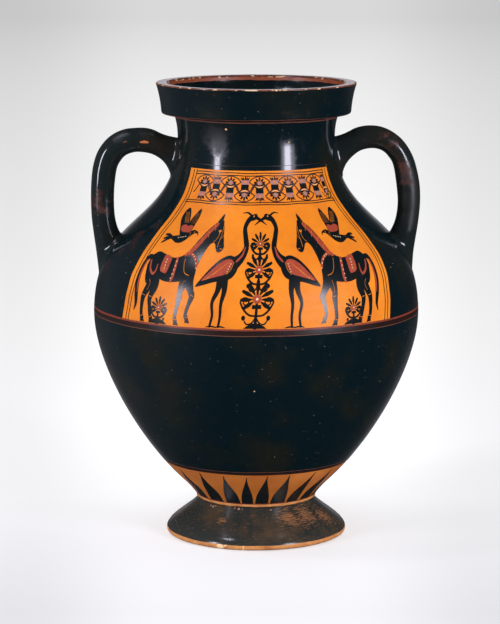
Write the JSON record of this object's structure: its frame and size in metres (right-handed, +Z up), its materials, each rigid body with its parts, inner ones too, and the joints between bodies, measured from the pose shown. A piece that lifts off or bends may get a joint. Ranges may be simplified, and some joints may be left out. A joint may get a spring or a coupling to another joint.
{
  "type": "amphora",
  "caption": "Two-handled clay storage jar with a swelling belly, short neck, heavy flaring lip and spreading foot.",
  "frame": {"origin": "centre of the resting plane, on the jar's axis", "axes": "+Z up along the jar's axis; the first picture panel faces -Y; the handles lie along +X and -X"},
  "size_m": [0.3848, 0.3788, 0.53],
  "materials": {
    "black_gloss": "sintered black slip over fired clay, glossy",
    "fired_clay": "orange-red fired clay, burnished, with a faint sheen",
    "added_red": "matt purple-red slip",
    "added_cream": "matt cream slip"
  },
  "bodies": {
    "root": {"foot": "black_gloss", "foot_fillet": "fired_clay", "lower_body": "black_gloss", "upper_body": "black_gloss", "mouth": "black_gloss", "handle_left": "black_gloss", "handle_right": "black_gloss"}
  },
  "joints": []
}
